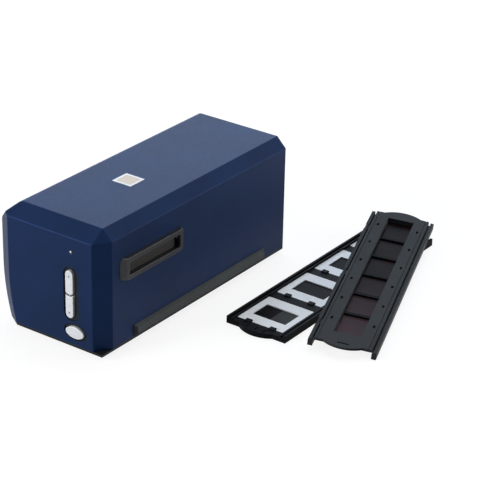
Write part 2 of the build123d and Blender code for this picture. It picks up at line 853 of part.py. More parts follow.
def led_light_pipe():
    """Clear pipe from the lamp on the board to the front face."""
    pipe = rod_y(led_x, led_z, front - led_stand, board_y - lamp_stand - led_gap, led_radius)
    flange = wall_inside + skin_gap
    return pipe + rod_y(led_x, led_z, flange, flange + led_flange_depth, led_radius + led_flange)


def button_board():
    """Circuit board behind the front wall, with three switches, a lamp and a connector."""
    board = block((board_left, board_right), (board_y, board_back), (board_low, board_high))
    places = [(button_x, sum(button_heights(upper)) / 2) for upper in (False, True)] + [(power_x, power_z)]
    root = board_y + weld
    for x, z in places:
        board += block(around(x, switch_body), (board_y - switch_height, root), around(z, switch_body))
        board += rod_y(x, z, switch_top, root, switch_cap_radius)
    board += rod_y(led_x, led_z, board_y - lamp_stand, root, lamp_radius)
    board += block(around(board_left + plug_width, plug_width), (root, board_back + plug_depth),
                   around((board_low + board_high) / 2, plug_height))
    for x, z in front_board_screws():
        board -= rod_y(x, z, board_y - 1, board_back + 1, screw_radius)
    return board


def board_screws():
    """Screws that hold the front board to the cover's bosses."""
    screw = rod_y(0, 0, board_back, board_back + screw_head_height, screw_head_radius)
    screw += rod_y(0, 0, board_y - board_screw_length, board_back, screw_radius - screw_core - skin_gap)
    return [Pos(x, 0, z) * screw for x, z in front_board_screws()]


# ---------------------------------------------------------------- rear electronics
def main_board():
    """Main circuit board, upright in front of the rear panel."""
    board = block((main_board_left, main_board_right), (main_board_y, main_board_back),
                  (main_board_low, main_board_high))
    root = main_board_y + weld
    for x, z, width, height, thickness in board_chips:
        board += block(around(x, width), (main_board_y - thickness, root), around(z, height))
    width, height, depth = board_header
    board += block(around(0, width), (main_board_y - depth, root),
                   around(main_board_high - header_from_top, height))
    for x, z in board_cans:
        board += rod_y(x, z, main_board_y - can_length, root, can_radius)
    for x, z in main_board_posts():
        board -= rod_y(x, z, main_board_y - 1, main_board_back + 1, screw_radius)
    return board


def usb_socket():
    """Square socket with a tongue set back in it."""
    back = main_board_back + socket_back
    body = block(around(usb_x, usb_width), (main_board_back, socket_end), around(socket_z, usb_height))
    mouth = block(around(usb_x, usb_mouth_width), (back, rear), around(socket_z, usb_mouth_height))
    tongue = block(around(usb_x, usb_tongue_width), (back - weld, socket_end - socket_mouth),
                   around(socket_z, usb_tongue_height))
    return body - mouth + tongue


def dc_jack():
    """Round low-voltage socket with a centre pin set back in it."""
    back = main_board_back + socket_back
    body = block(around(dc_x, dc_size), (main_board_back, socket_end), around(socket_z, dc_size))
    body -= rod_y(dc_x, socket_z, back, rear, dc_bore_radius)
    return body + rod_y(dc_x, socket_z, back - weld, socket_end - socket_mouth, dc_pin_radius)


# ---------------------------------------------------------------- scan mechanism
def chassis_plate():
    """Steel plate that carries the channel, the rods and the motor."""
    through = (chassis_low - 1, chassis_top + 1)
    plate = block((chassis_left, chassis_right), (chassis_front, chassis_rear), (chassis_low, chassis_top))
    plate -= block(around((rod_left_x + rod_right_x) / 2, chassis_window_x),
                   around(chassis_window_middle, chassis_window_y), through)
    for x, y in chassis_pads():
        plate -= rod_z_between(x, y, *through, screw_radius + skin_gap)
    for x, y in screw_places():
        plate -= rod_z_between(x, y, *through, boss_radius + fixed_gap)
    return plate


def guide_rods():
    """Two ground steel rods along the case."""
    return [rod_y(x, rod_z, rod_front, rod_rear, rod_radius) for x in (rod_left_x, rod_right_x)]


def rod_clips():
    """Saddles that hold both ends of each rod."""
    clips = []
    for x in (rod_left_x, rod_right_x):
        for y in (rod_front + clip_inset, rod_rear - clip_inset - clip_length):
            clip = block(around(x, 2 * (rod_radius + clip_side)), (y, y + clip_length),
                         (chassis_top, rod_z + rod_radius + clip_wall))
            clips.append(clip - rod_y(x, rod_z, y - 1, y + clip_length + 1, rod_radius + skin_gap))
    return clips


def mirror_plane():
    """The mirror's face, at 45 degrees under the scan line."""
    return Plane(origin=(0, line_home_y, optic_z), x_dir=(1, 0, 0), z_dir=(0, 1, 1))


def carriage_frame():
    """Moulded carriage: floor on the rods, spine behind the channel and an arm over it."""
    line = line_home_y
    nose = line - carriage_front
    tail = line + ccd_offset + carriage_tail
    spine = (line + spine_offset, line + spine_offset + spine_thickness)
    arm_y = (line - lamp_half_y - lamp_margin, spine[1])
    arm_low = roof_top + lamp_gap + lamp_height
    arm_high = arm_low + arm_thickness
    between = (-mirror_half - weld, mirror_half + weld)
    frame = block((-cheek_out, carriage_right), (nose, tail), (carriage_plate_z, carriage_top))
    for side in (-1, 1):
        rib = sorted((side * (mirror_half + cheek_gap), side * cheek_out))
        frame += block(rib, (nose, line + mirror_reach), (carriage_plate_z, optic_z + cheek_rise))
        frame += block(rib, arm_y, (arm_low, arm_high + arm_rib))
        frame += block(rib, spine, (carriage_plate_z, arm_high))
    frame += block(between, spine, (carriage_plate_z, arm_high))
    frame += block(between, arm_y, (arm_low, arm_high))
    frame -= block(around(0, light_gate_x), (spine[0] - 1, spine[1] + 1), around(optic_z, light_gate_z))
    cradle = (line + lens_offset + cradle_inset, line + lens_offset + lens_length - cradle_inset)
    frame += block((-cradle_half, cradle_half), cradle, (carriage_plate_z, optic_z - lens_nose))
    frame -= rod_y(0, optic_z, cradle[0] - 1, cradle[1] + 1, lens_radius + skin_gap)
    back = (line + ccd_offset, line + ccd_offset + ccd_wall)
    frame += block((-cheek_out, cheek_out), back, (carriage_plate_z, optic_z + ccd_wall_rise))
    frame -= block(around(0, ccd_gate_x), (back[0] - 1, back[1] + 1), around(optic_z, ccd_gate_z))
    for x, spans in ((rod_left_x, left_bushes), (rod_right_x, right_bushes)):
        for start, end in spans:
            frame += block(around(x, bush_width), (line + start, line + end),
                           (rod_z - bush_drop, carriage_top))
        frame -= rod_y(x, rod_z, nose - 1, tail + 1, rod_radius + running_gap)
    frame += block((screw_x + nut_half, weld - cheek_out),
                   (line + nut_offset, line + nut_offset + nut_length), (carriage_plate_z, carriage_top))
    bed = mirror_plane() * Pos(0, 0, -mirror_thickness - mirror_bed / 2) * Box(
        2 * (mirror_half + weld), mirror_width, mirror_bed)
    return frame + (bed & block(between, (nose, line + mirror_reach), (carriage_plate_z, everywhere)))


def fold_mirror():
    """First-surface mirror under the scan line."""
    plate = Box(mirror_length, mirror_width, mirror_thickness)
    return mirror_plane() * Pos(0, 0, -mirror_thickness / 2) * plate


def lamp_bar():
    """Light bar under the carriage's arm."""
    low = roof_top + lamp_gap
    bar = block(around(0, mirror_length), around(line_home_y, 2 * lamp_half_y), (low, low + lamp_height))
    return bar - block(around(0, mirror_length - 2 * lamp_wall), around(line_home_y, lamp_half_y),
                       (low - 1, low + lamp_wall))


def lens_barrel():
    """Lens mount with a stepped nose at both ends and a clear bore."""
    start = line_home_y + lens_offset
    end = start + lens_length
    barrel = rod_y(0, optic_z, start + lens_nose, end - lens_nose, lens_radius)
    barrel += rod_y(0, optic_z, start, end, lens_radius - lens_step)
    return barrel - rod_y(0, optic_z, start - 1, end + 1, lens_bore)


def lens_elements():
    """Two glass elements seated in the barrel's bore."""
    first = line_home_y + lens_offset + lens_nose
    last = line_home_y + lens_offset + lens_length - lens_nose - lens_glass
    return [rod_y(0, optic_z, y, y + lens_glass, lens_bore - skin_gap) for y in (first, last)]


def ccd_sensor():
    """Line sensor package behind the carriage's rear wall."""
    start = line_home_y + ccd_offset + ccd_wall
    return block(around(0, ccd_length - ccd_depth), (start, start + ccd_depth), around(optic_z, ccd_height))


def ccd_board():
    """Small board that carries the line sensor."""
    start = line_home_y + ccd_offset + ccd_wall + ccd_depth
    return block(around(0, ccd_length), (start, start + board_thickness),
                 (carriage_top, optic_z + ccd_board_rise))


def lead_nut():
    """Brass nut beside the carriage."""
    span = (line_home_y + nut_offset, line_home_y + nut_offset + nut_length)
    nut = block(around(screw_x, 2 * nut_half), span, around(screw_z, 2 * nut_half))
    return nut - rod_y(screw_x, screw_z, span[0] - 1, span[1] + 1, lead_radius + running_gap)


def lead_screw():
    """Lead screw with a turned journal at the front and the rotor's shaft at the rear."""
    thick = (bearing_y + bearing_length + moving_gap, motor_y - bracket_thickness - moving_gap)
    screw = rod_y(screw_x, screw_z, *thick, lead_radius)
    thin = (bearing_y, motor_y + motor_length - 2 * motor_edge)
    return screw + rod_y(screw_x, screw_z, *thin, journal_radius)


def screw_bearing():
    """Block on the chassis with the lead screw's front bearing."""
    span = (bearing_y, bearing_y + bearing_length)
    body = block(around(screw_x, 2 * bearing_half), span, (chassis_top, screw_z + bearing_half))
    return body - rod_y(screw_x, screw_z, span[0] - 1, span[1] + 1, journal_radius + running_gap)


def stepper_motor():
    """Round can motor."""
    end = motor_y + motor_length
    can = rod_y(screw_x, screw_z, motor_y, end, motor_radius)
    can = fillet([e for e in can.edges() if e.center().Y > end - 0.01], motor_edge)
    return can - rod_y(screw_x, screw_z, motor_y - 1, end - motor_edge, journal_radius + running_gap)


def motor_bracket():
    """Bent plate between the chassis and the motor's face."""
    width = (screw_x - bearing_half, screw_x + motor_radius)
    face = block(width, (motor_y - bracket_thickness, motor_y), (chassis_top, screw_z + motor_radius))
    foot = block(width, (motor_y - bracket_foot, motor_y), (chassis_top, chassis_top + bracket_thickness))
    hole = rod_y(screw_x, screw_z, motor_y - bracket_foot, motor_y + 1, lead_radius + moving_gap)
    return face + foot - hole


# ---------------------------------------------------------------- slide holder
def on_slide_holder(shape):
    """Places a shape drawn round the slide holder's own middle, flat on the table."""
    return Pos(slide_holder_x, slide_holder_y, 0) * shape


def slide_places():
    """Y of each slide, counted from the holder's middle."""
    first = -(slide_count - 1) * slide_pitch / 2
    return [first + n * slide_pitch for n in range(slide_count)]


def grip_outline(width, length, grip, reach):
    """Plan of a holder: a rectangle with a rounded grip at each end."""
    plan = Rectangle(width, length)
    radius = (grip ** 2 / 4 + reach ** 2) / (2 * reach)
    for end in (-1, 1):
        plan += Pos(0, end * (length / 2 + reach - radius)) * Circle(radius) & Rectangle(grip, 2 * length)
    return plan


def slide_holder_frame():
    """Moulded frame: floor with windows, ridged side rails, cross bars and slide clips."""
    half = slide_holder_width / 2
    bed = slide_floor + slide_thickness
    whole = around(0, slide_holder_length)
    plan = grip_outline(slide_holder_width, slide_holder_length, grip_width, grip_reach)
    frame = extrude(plan, amount=bed + crossbar_rise)
    nest = slide_size + 2 * moving_gap
    for side in (-1, 1):
        outer = sorted((side * (half - ridge), side * half))
        inner = sorted((side * (half - 3 * ridge), side * (half - 2 * ridge)))
        frame += block(outer, whole, (0, slide_holder_height))
        frame += block(inner, whole, (0, slide_holder_height - ridge_step))
    for y in slide_places():
        frame -= block(around(slide_shift, nest), around(y, nest), (slide_floor, everywhere))
        frame -= block(around(slide_shift, slide_window_x + slide_light_x),
                       around(y, slide_window_y + slide_light_y), (-1, everywhere))
        edge = y - nest / 2
        for x in (-clip_x, clip_x):
            across = around(x, clip_width)
            frame += block(across, (edge - clip_post, edge - seat_gap), (bed - weld, bed + clip_rise))
            frame += block(across, (edge - weld, edge + clip_hook), (bed + seat_gap, bed + clip_rise))
    for end in (-1, 1):
        rib_y = sorted((end * (slide_holder_length / 2 + 1), end * (slide_holder_length / 2 - clip_post)))
        for n in (-1, 0, 1):
            frame += block(around(n * grip_rib_pitch, grip_rib), rib_y, (bed, bed + grip_rib_rise))
    return on_slide_holder(frame)


def slide_mounts():
    """Four white slide mounts in the holder's beds."""
    plate = extrude(RectangleRounded(slide_size, slide_size, slide_corner), amount=slide_thickness)
    plate -= block(around(0, slide_window_x), around(0, slide_window_y), (-1, everywhere))
    return [on_slide_holder(Pos(slide_shift, y, slide_floor) * plate) for y in slide_places()]


def slide_films():
    """The film in each mount's window."""
    size_x = slide_window_x - 2 * seat_gap
    size_y = slide_window_y - 2 * seat_gap
    middle = slide_floor + slide_thickness / 2
    film = Pos(0, 0, middle) * Box(size_x, size_y, film_thickness)
    return [on_slide_holder(Pos(slide_shift, y, 0) * film) for y in slide_places()]


# ---------------------------------------------------------------- strip holder
def strip_plane():
    """Underside of the strip holder: it leans on the slide holder's edge, one corner on the table."""
    yaw = radians(strip_yaw)
    corner_x = strip_x + strip_width / 2 * cos(yaw) + strip_length / 2 * sin(yaw)
    edge_x = slide_holder_x + slide_holder_width / 2
    slope = (slide_holder_height + strip_lift) / (corner_x - edge_x)
    height = slope * (corner_x - strip_x) + strip_corner_lift
    across = (cos(yaw), sin(yaw), -slope * cos(yaw))
    return Plane(origin=(strip_x, strip_y, height), x_dir=across, z_dir=(slope, 0, 1))


def frame_places():
    """Middle of each film frame along the strip holder."""
    first = frame_shift - (frame_count - 1) * frame_pitch / 2
    return [first + n * frame_pitch for n in range(frame_count)]


def hinge_x():
    """The cover's hinge line, in the middle of the left side wall."""
    return -strip_width / 2 + strip_rail / 2


def cover_half():
    """Half the width of the strip holder's cover."""
    return strip_width / 2 - strip_rail - strip_cover_gap


def film_windows(size_x, size_y):
    """The row of frame windows, right through."""
    return [block(around(0, size_x), around(y, size_y), (-1, everywhere)) for y in frame_places()]


def strip_holder_base():
    """Lower half of the strip holder: walled tray with frame windows and hinge cut-outs."""
    half = strip_width / 2
    inner = cover_half() + moving_gap
    base = block((-half, half), around(0, strip_length), (0, strip_floor))
    base -= block((-inner, inner), (strip_near - 1, strip_near + finger_room), (-1, everywhere))
    for side in (-1, 1):
        rail = sorted((side * (half - strip_rail), side * half))
        base += block(rail, around(0, strip_length), (0, strip_rail_height))
        foot = sorted((side * inner, side * half))
        foot_y = (strip_near - strip_foot_step, strip_near + strip_foot_length - strip_foot_step)
        base += block(foot, foot_y, (0, strip_rail_height - strip_foot_step))
    base -= film_windows(frame_x, frame_y)
    for y in hinge_positions:
        base -= block((-half - 1, -cover_half()), around(y, hinge_length + 2 * moving_gap),
                      (hinge_z - hinge_radius - moving_gap, everywhere))
        base -= rod_y(hinge_x(), hinge_z, *around(y, 2 * hinge_length), hinge_pin_radius + skin_gap)
    return strip_plane() * base


def strip_holder_cover():
    """Upper half of the strip holder: trough over the film, finger notches, grips and barrels."""
    half = cover_half()
    low = strip_floor + film_thickness + 3 * seat_gap
    end = strip_length / 2 - strip_end_gap
    plan = grip_outline(2 * half, 2 * end, strip_grip_width, strip_grip_reach)
    cover = extrude(Pos(0, 0, low) * plan, amount=strip_height - low)
    long_edges = [e for e in cover.edges()
                  if abs(abs(e.center().X) - half) < 0.01 and e.center().Z > strip_height - 0.01]
    cover = chamfer(long_edges, strip_bevel)
    under = (0, strip_height - strip_lip)
    cover -= block((-half - 1, half + 1), (-strip_length, strip_near + finger_room), under)
    cover -= block((-half - 1, half + 1), (end, strip_length), under)
    trough = (frame_places()[0] - frame_y / 2 - trough_near, frame_places()[-1] + frame_y / 2 + trough_far)
    cover -= block(around(0, trough_width), trough, (strip_height - trough_depth, everywhere))
    cover -= film_windows(frame_x, frame_y)
    for side in (-1, 1):
        for y in frame_places():
            cover -= block(around(side * notch_x, notch_width), around(y, notch_length),
                           (strip_height - notch_depth, everywhere))
        groove = sorted((side * (half - groove_inset - groove_width), side * (half - groove_inset)))
        cover -= block(groove, (-end - 1, end + 1), (strip_height - groove_depth, everywhere))
    cover -= block(around(0, grip_slot_width), around(strip_near + grip_slot_setback, grip_slot_length),
                   (0, everywhere))
    for y in hinge_positions:
        span = around(y, hinge_length)
        cover += block((hinge_x(), weld - half), span, around(hinge_z, hinge_leaf))
        cover += rod_y(hinge_x(), hinge_z, *span, hinge_radius)
        cover -= rod_y(hinge_x(), hinge_z, span[0] - 1, span[1] + 1, hinge_pin_radius + running_gap)
    return strip_plane() * cover


def strip_hinge_pins():
    """Three short steel pins on the cover's hinge line."""
    length = hinge_length + 2 * hinge_pin_reach
    return [strip_plane() * rod_y(hinge_x(), hinge_z, *around(y, length), hinge_pin_radius)
            for y in hinge_positions]


def film_strip():
    """Strip of six negatives between the holder's halves."""
    low = strip_floor + seat_gap
    film = block(around(0, film_width), around(frame_shift, frame_count * frame_pitch + 2 * film_end),
                 (low, low + film_thickness))
    return strip_plane() * film


nodes = {
    "upper_cover": upper_cover,
    "base_tray": base_tray,
    "rear_panel": rear_panel,
    "slot_bezel_right": lambda: slot_bezel(1),
    "slot_bezel_left": lambda: slot_bezel(-1),
    "side_rail": side_rail,
    "rubber_feet": rubber_feet,
    "cover_screws": cover_screws,
    "chassis_screws": chassis_screws,
    "top_label": top_label,
    "channel_floor": channel_floor,
    "channel_roof": channel_roof,
    "diffuser_window": diffuser_window,
    "detent_spring": detent_spring,
    "dust_flap_right": lambda: dust_flap(1),
    "dust_flap_left": lambda: dust_flap(-1),
    "flap_pins": flap_pins,
    "button_escutcheon": button_escutcheon,
    "power_escutcheon": power_escutcheon,
    "scan_button_upper": lambda: scan_button(True),
    "scan_button_lower": lambda: scan_button(False),
    "power_button": power_button,
    "led_light_pipe": led_light_pipe,
    "button_board": button_board,
    "board_screws": board_screws,
    "main_board": main_board,
    "usb_socket": usb_socket,
    "dc_jack": dc_jack,
    "chassis_plate": chassis_plate,
    "guide_rods": guide_rods,
    "rod_clips": rod_clips,
    "carriage_frame": carriage_frame,
    "fold_mirror": fold_mirror,
    "lamp_bar": lamp_bar,
    "lens_barrel": lens_barrel,
    "lens_elements": lens_elements,
    "ccd_sensor": ccd_sensor,
    "ccd_board": ccd_board,
    "lead_nut": lead_nut,
    "lead_screw": lead_screw,
    "screw_bearing": screw_bearing,
    "stepper_motor": stepper_motor,
    "motor_bracket": motor_bracket,
    "slide_holder_frame": slide_holder_frame,
    "slide_mounts": slide_mounts,
    "slide_films": slide_films,
    "strip_holder_base": strip_holder_base,
    "strip_holder_cover": strip_holder_cover,
    "strip_hinge_pins": strip_hinge_pins,
    "film_strip": film_strip,
}

os.makedirs("parts", exist_ok=True)
for name, make in nodes.items():
    shape = make()
    if isinstance(shape, list):
        shape = Compound(children=[part for solid in shape for part in solid.solids()])
    export_step(shape, f"parts/{name}.step")
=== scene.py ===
"""Looks of a desktop film negative scanner and its two film holders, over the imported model."""
import math

import bmesh
import bpy
from mathutils import Matrix, Vector


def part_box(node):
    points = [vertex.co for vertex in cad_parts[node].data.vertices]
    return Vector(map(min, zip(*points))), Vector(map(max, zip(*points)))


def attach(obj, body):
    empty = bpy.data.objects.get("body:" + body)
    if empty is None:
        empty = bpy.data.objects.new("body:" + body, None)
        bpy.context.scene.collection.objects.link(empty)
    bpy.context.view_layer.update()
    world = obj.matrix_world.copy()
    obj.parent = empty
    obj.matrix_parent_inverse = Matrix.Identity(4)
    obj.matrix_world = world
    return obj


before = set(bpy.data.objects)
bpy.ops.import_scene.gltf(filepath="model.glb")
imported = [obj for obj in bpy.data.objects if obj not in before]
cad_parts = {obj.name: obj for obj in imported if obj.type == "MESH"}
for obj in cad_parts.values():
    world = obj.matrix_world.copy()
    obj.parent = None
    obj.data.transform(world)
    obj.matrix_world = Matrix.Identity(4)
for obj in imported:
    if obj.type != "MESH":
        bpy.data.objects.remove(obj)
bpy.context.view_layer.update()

MM = 0.001

# The camera stands where the photograph was taken from.
CAMERA_PLACE = Vector((1.0164, -1.2753, 0.8409))
CAMERA_AZIMUTH = math.radians(35.508)
CAMERA_ELEVATION = math.radians(25.931)
CAMERA_ROLL = math.radians(1.225)
CAMERA_LENS = 147.8
SENSOR = 36.0

# How the studio is lit, in shares of a level at which white renders as white.
FILL = 0.12
FLOOR_GLOW = 0.84
LIT_PLACE = Vector((0.06, 0.0, 0.06))

# The strip holder lies turned and leaning; these repeat its place in the model.
STRIP_MIDDLE = Vector((171.9, 123.5, 6.72)) * MM
STRIP_YAW = math.radians(20.2)
STRIP_SLOPE = 0.0899
FRAME_PITCH = 38.0 * MM
FRAME_COUNT = 6
FRAME_SHIFT = 6.0 * MM
WINDOW_ACROSS = 24.0 * MM
TROUGH_PLAY = 0.4 * MM
NEAREST_SLIDE = 25.0 * MM
LABEL_BORDER = 2.4 * MM

# The small pieces that are added here.
DOT_FROM_END = 5.4 * MM
DOT_RADIUS = 1.0 * MM
DOT_HEIGHT = 0.06 * MM
DOT_SINK = 0.01 * MM
BEAD_RADIUS = 0.8 * MM
BEAD_HEIGHT = 0.35 * MM
BEAD_SINK = 0.02 * MM
BEAD_RISE = 0.2 * MM
DOME = [(1.0, 0.0), (0.92, 0.55), (0.7, 0.85), (0.35, 0.97)]     # share of radius, share of height


# ---------------------------------------------------------------- helpers
def linear(hex_colour):
    """Linear RGBA of an sRGB hex colour."""
    channels = [int(hex_colour[i:i + 2], 16) / 255 for i in (1, 3, 5)]
    bent = [c / 12.92 if c <= 0.04045 else ((c + 0.055) / 1.055) ** 2.4 for c in channels]
    return (*bent, 1.0)


def per_mm(size):
    """Texture scale at which one feature is about this many millimetres, in object space in metres."""
    return 1.0 / (size * MM)


def add(tree, kind, inputs=None, **settings):
    """Adds one node, with its settings, and its inputs as values or as other nodes' outputs."""
    node = tree.nodes.new(kind)
    for name, value in settings.items():
        setattr(node, name, value)
    for socket, value in (inputs or {}).items():
        if isinstance(value, bpy.types.NodeSocket):
            tree.links.new(value, node.inputs[socket])
        else:
            node.inputs[socket].default_value = value
    return node


def new_finish(name, **shader_values):
    """A material with its shader's constants set; returns the material, its tree, shader and place."""
    material = bpy.data.materials.new(name)
    material.use_nodes = True
    tree = material.node_tree
    shader = tree.nodes["Principled BSDF"]
    for socket, value in shader_values.items():
        shader.inputs[socket.replace("_", " ")].default_value = value
    place = add(tree, "ShaderNodeTexCoord").outputs["Object"]
    return material, tree, shader, place


def mottle(tree, place, size, detail=3.0):
    """Soft noise, 0 to 1, whose blotches are about this many millimetres."""
    return add(tree, "ShaderNodeTexNoise", {"Vector": place, "Scale": per_mm(size),
                                            "Detail": detail}).outputs[0]


def spread(tree, value, low, high, from_low=0.35, from_high=0.65):
    """Maps a noise value to a wanted range."""
    return add(tree, "ShaderNodeMapRange", {"Value": value, "From Min": from_low, "From Max": from_high,
                                            "To Min": low, "To Max": high}).outputs[0]


def two_tone(tree, factor, first, second):
    """Mix of two colours, each a hex string or an output."""
    colours = {6: linear(first) if isinstance(first, str) else first,
               7: linear(second) if isinstance(second, str) else second}
    return add(tree, "ShaderNodeMix", {0: factor, **colours}, data_type="RGBA").outputs[2]


def relief(tree, shader, height, depth, strength=0.3, edge=0.0):
    """Bump of the given depth in millimetres into the shader's normal, over softly rounded edges."""
    bump = add(tree, "ShaderNodeBump", {"Height": height, "Distance": depth * MM, "Strength": strength})
    if edge:
        soft = add(tree, "ShaderNodeBevel", {"Radius": edge * MM}, samples=6)
        tree.links.new(soft.outputs[0], bump.inputs["Normal"])
    tree.links.new(bump.outputs[0], shader.inputs["Normal"])


def band(tree, value, low, high):
    """1 where a value lies between two limits, else 0."""
    above = add(tree, "ShaderNodeMath", {0: value, 1: low}, operation="GREATER_THAN").outputs[0]
    below = add(tree, "ShaderNodeMath", {0: value, 1: high}, operation="LESS_THAN").outputs[0]
    return add(tree, "ShaderNodeMath", {0: above, 1: below}, operation="MULTIPLY").outputs[0]


def wear(*nodes, finish):
    """Gives CAD nodes a finish."""
    for name in nodes:
        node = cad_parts[name]
        node.data.materials.clear()
        node.data.materials.append(finish)


# ---------------------------------------------------------------- finishes
def moulded_finish(name, colour, dark, grain, roughness, depth=0.05, edge=0.0, **more):
    """Injection-moulded ABS: two close tones of one colour over a spark-eroded grain."""
    material, tree, shader, place = new_finish(name, Roughness=roughness, IOR=1.53, **more)
    tone = spread(tree, mottle(tree, place, 45.0), 0.0, 1.0)
    tree.links.new(two_tone(tree, tone, colour, dark), shader.inputs["Base Color"])
    fine = mottle(tree, place, grain, 1.0)
    gloss = spread(tree, fine, roughness - 0.05, roughness + 0.06)
    tree.links.new(gloss, shader.inputs["Roughness"])
    relief(tree, shader, fine, depth, edge=edge)
    return material


def painted_navy():
    """Navy satin lacquer with a little metal flake, over a very fine leather grain."""
    return moulded_finish("navy_metallic_lacquer", "#0f2549", "#0d2142", 0.9, 0.48, edge=1.0,
                          Metallic=0.45, Specular_IOR_Level=0.1)


def black_abs():
    """Black textured ABS, a little grey where light grazes it."""
    return moulded_finish("black_textured_abs", "#121417", "#0f1113", 0.8, 0.5, edge=0.3,
                          Specular_IOR_Level=0.15)


def bezel_abs():
    """The same black ABS with a satin face, so that the bezels' crests catch the light."""
    return moulded_finish("black_satin_abs", "#16181b", "#131518", 0.8, 0.4, edge=0.6,
                          Specular_IOR_Level=0.4)


def rail_abs():
    """Charcoal ABS of the side rail, greyer than the case's black."""
    return moulded_finish("charcoal_abs", "#303536", "#232829", 2.5, 0.55, edge=0.4,
                          Specular_IOR_Level=0.25)


def holder_black():
    """Satin black ABS of the slide holder."""
    return moulded_finish("satin_black_abs", "#1c1d1f", "#18191b", 0.7, 0.45, edge=0.25,
                          Specular_IOR_Level=0.02)


def strip_local(tree, place):
    """Distances across and along the strip holder, from its middle."""
    yaw = STRIP_YAW
    across = Vector((math.cos(yaw), math.sin(yaw), -STRIP_SLOPE * math.cos(yaw))).normalized()
    up = Vector((STRIP_SLOPE, 0, 1)).normalized()
    along = up.cross(across)
    moved = add(tree, "ShaderNodeVectorMath", {0: place, 1: STRIP_MIDDLE}, operation="SUBTRACT").outputs[0]
    return [add(tree, "ShaderNodeVectorMath", {0: moved, 1: direction},
                operation="DOT_PRODUCT").outputs["Value"] for direction in (across, along)]


def strip_holder_slate(name="slate_satin_abs"):
    """Slate-grey satin ABS of the strip holder, almost without gloss."""
    return moulded_finish(name, "#37393b", "#323436", 0.7, 0.45, edge=0.25,
                          Specular_IOR_Level=0.02)


def strip_cover_slate():
    """The same slate ABS, with painted shade: the bars between the film windows are painted dead black for
    the shadow in the trough.
    """
    material = strip_holder_slate("slate_satin_abs_with_painted_shade_bars")
    tree = material.node_tree
    shader = tree.nodes["Principled BSDF"]
    place = add(tree, "ShaderNodeTexCoord").outputs["Object"]
    across, along = strip_local(tree, place)
    reach = (FRAME_COUNT / 2 - 0.5) * FRAME_PITCH
    trough = WINDOW_ACROSS / 2 + TROUGH_PLAY
    between = band(tree, along, FRAME_SHIFT - reach, FRAME_SHIFT + reach)
    painted_shade_bars = add(tree, "ShaderNodeMath", {0: band(tree, across, -trough, trough), 1: between},
               operation="MULTIPLY").outputs[0]
    body = shader.inputs["Base Color"].links[0].from_socket
    # Painted shade: inside the trough, between the end windows, the slate is painted near black.
    tree.links.new(two_tone(tree, painted_shade_bars, body, "#020202"), shader.inputs["Base Color"])
    return material


def matt_rubber():
    """Moulded rubber: almost no gloss, a dusty bloom."""
    return moulded_finish("matt_rubber", "#1a1a1b", "#222223", 0.6, 0.8, Specular_IOR_Level=0.2)


def zinc_plated_steel():
    """Bright zinc on steel: fine turning marks blur its reflections."""
    material, tree, shader, place = new_finish("zinc_plated_steel", Metallic=1.0)
    fine = mottle(tree, place, 0.5, 2.0)
    tree.links.new(two_tone(tree, fine, "#b4b7ba", "#9da1a5"), shader.inputs["Base Color"])
    tree.links.new(spread(tree, fine, 0.25, 0.4), shader.inputs["Roughness"])
    return material


def ground_steel():
    """Ground steel rod, with brighter streaks along it."""
    material, tree, shader, place = new_finish("ground_steel", Metallic=1.0)
    streaks = add(tree, "ShaderNodeMapping", {"Vector": place, "Scale": (1, 0.02, 1)}).outputs[0]
    fine = mottle(tree, streaks, 0.3, 2.0)
    tree.links.new(two_tone(tree, fine, "#c4c6c8", "#a6a9ac"), shader.inputs["Base Color"])
    tree.links.new(spread(tree, fine, 0.12, 0.25), shader.inputs["Roughness"])
    return material


def turned_brass():
    """Turned brass, slightly dulled."""
    material, tree, shader, place = new_finish("turned_brass", Metallic=1.0)
    fine = mottle(tree, place, 0.6, 2.0)
    tree.links.new(two_tone(tree, fine, "#c9a352", "#a98437"), shader.inputs["Base Color"])
    tree.links.new(spread(tree, fine, 0.25, 0.4), shader.inputs["Roughness"])
    return material


def first_surface_mirror():
    """Aluminium evaporated on polished glass: a clean mirror."""
    return new_finish("first_surface_mirror", Metallic=1.0, Roughness=0.03,
                      Base_Color=linear("#e6e9ec"))[0]


def coated_glass():
    """Lens glass, clear and smooth, with a faint blue-green coating tint."""
    return new_finish("coated_lens_glass", Base_Color=linear("#cfe4e8"), Roughness=0.02, IOR=1.6,
                      Transmission_Weight=1.0)[0]


def opal_acrylic():
    """Opal acrylic: milky, lets light through without showing what is behind."""
    return new_finish("opal_acrylic", Base_Color=linear("#eceae4"), Roughness=0.35, IOR=1.49,
                      Subsurface_Weight=0.4, Subsurface_Scale=0.002)[0]


def pearl_button():
    """Pearl-white painted key: cool white with a soft lacquer coat."""
    material, tree, shader, place = new_finish("pearl_white_lacquer", Roughness=0.35, IOR=1.5,
                                               Coat_Weight=0.25, Coat_Roughness=0.15)
    cloud = spread(tree, mottle(tree, place, 4.0), 0.0, 1.0)
    tree.links.new(two_tone(tree, cloud, "#dfe2e6", "#d6dade"), shader.inputs["Base Color"])
    relief(tree, shader, mottle(tree, place, 0.4, 1.0), 0.02, 0.2)
    return material


def label_paper():
    """Coated paper label: white border round a warm grey field, nothing printed on it."""
    low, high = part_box("top_label")
    material, tree, shader, place = new_finish("coated_paper_label", Roughness=0.45, IOR=1.45)
    axes = add(tree, "ShaderNodeSeparateXYZ", {0: place}).outputs
    across = band(tree, axes[0], low.x + LABEL_BORDER, high.x - LABEL_BORDER)
    along = band(tree, axes[1], low.y + LABEL_BORDER, high.y - LABEL_BORDER)
    inside = add(tree, "ShaderNodeMath", {0: across, 1: along}, operation="MULTIPLY").outputs[0]
    fibre = mottle(tree, place, 0.8, 2.0)
    field = two_tone(tree, fibre, "#cbb9a6", "#d8c9b8")
    tree.links.new(two_tone(tree, inside, "#e9e9ea", field), shader.inputs["Base Color"])
    return material


def flap_finish():
    """Warm grey satin ABS of the dust flaps."""
    return moulded_finish("warm_grey_abs", "#2b2927", "#242220", 0.8, 0.45, edge=0.3, Specular_IOR_Level=0.2)


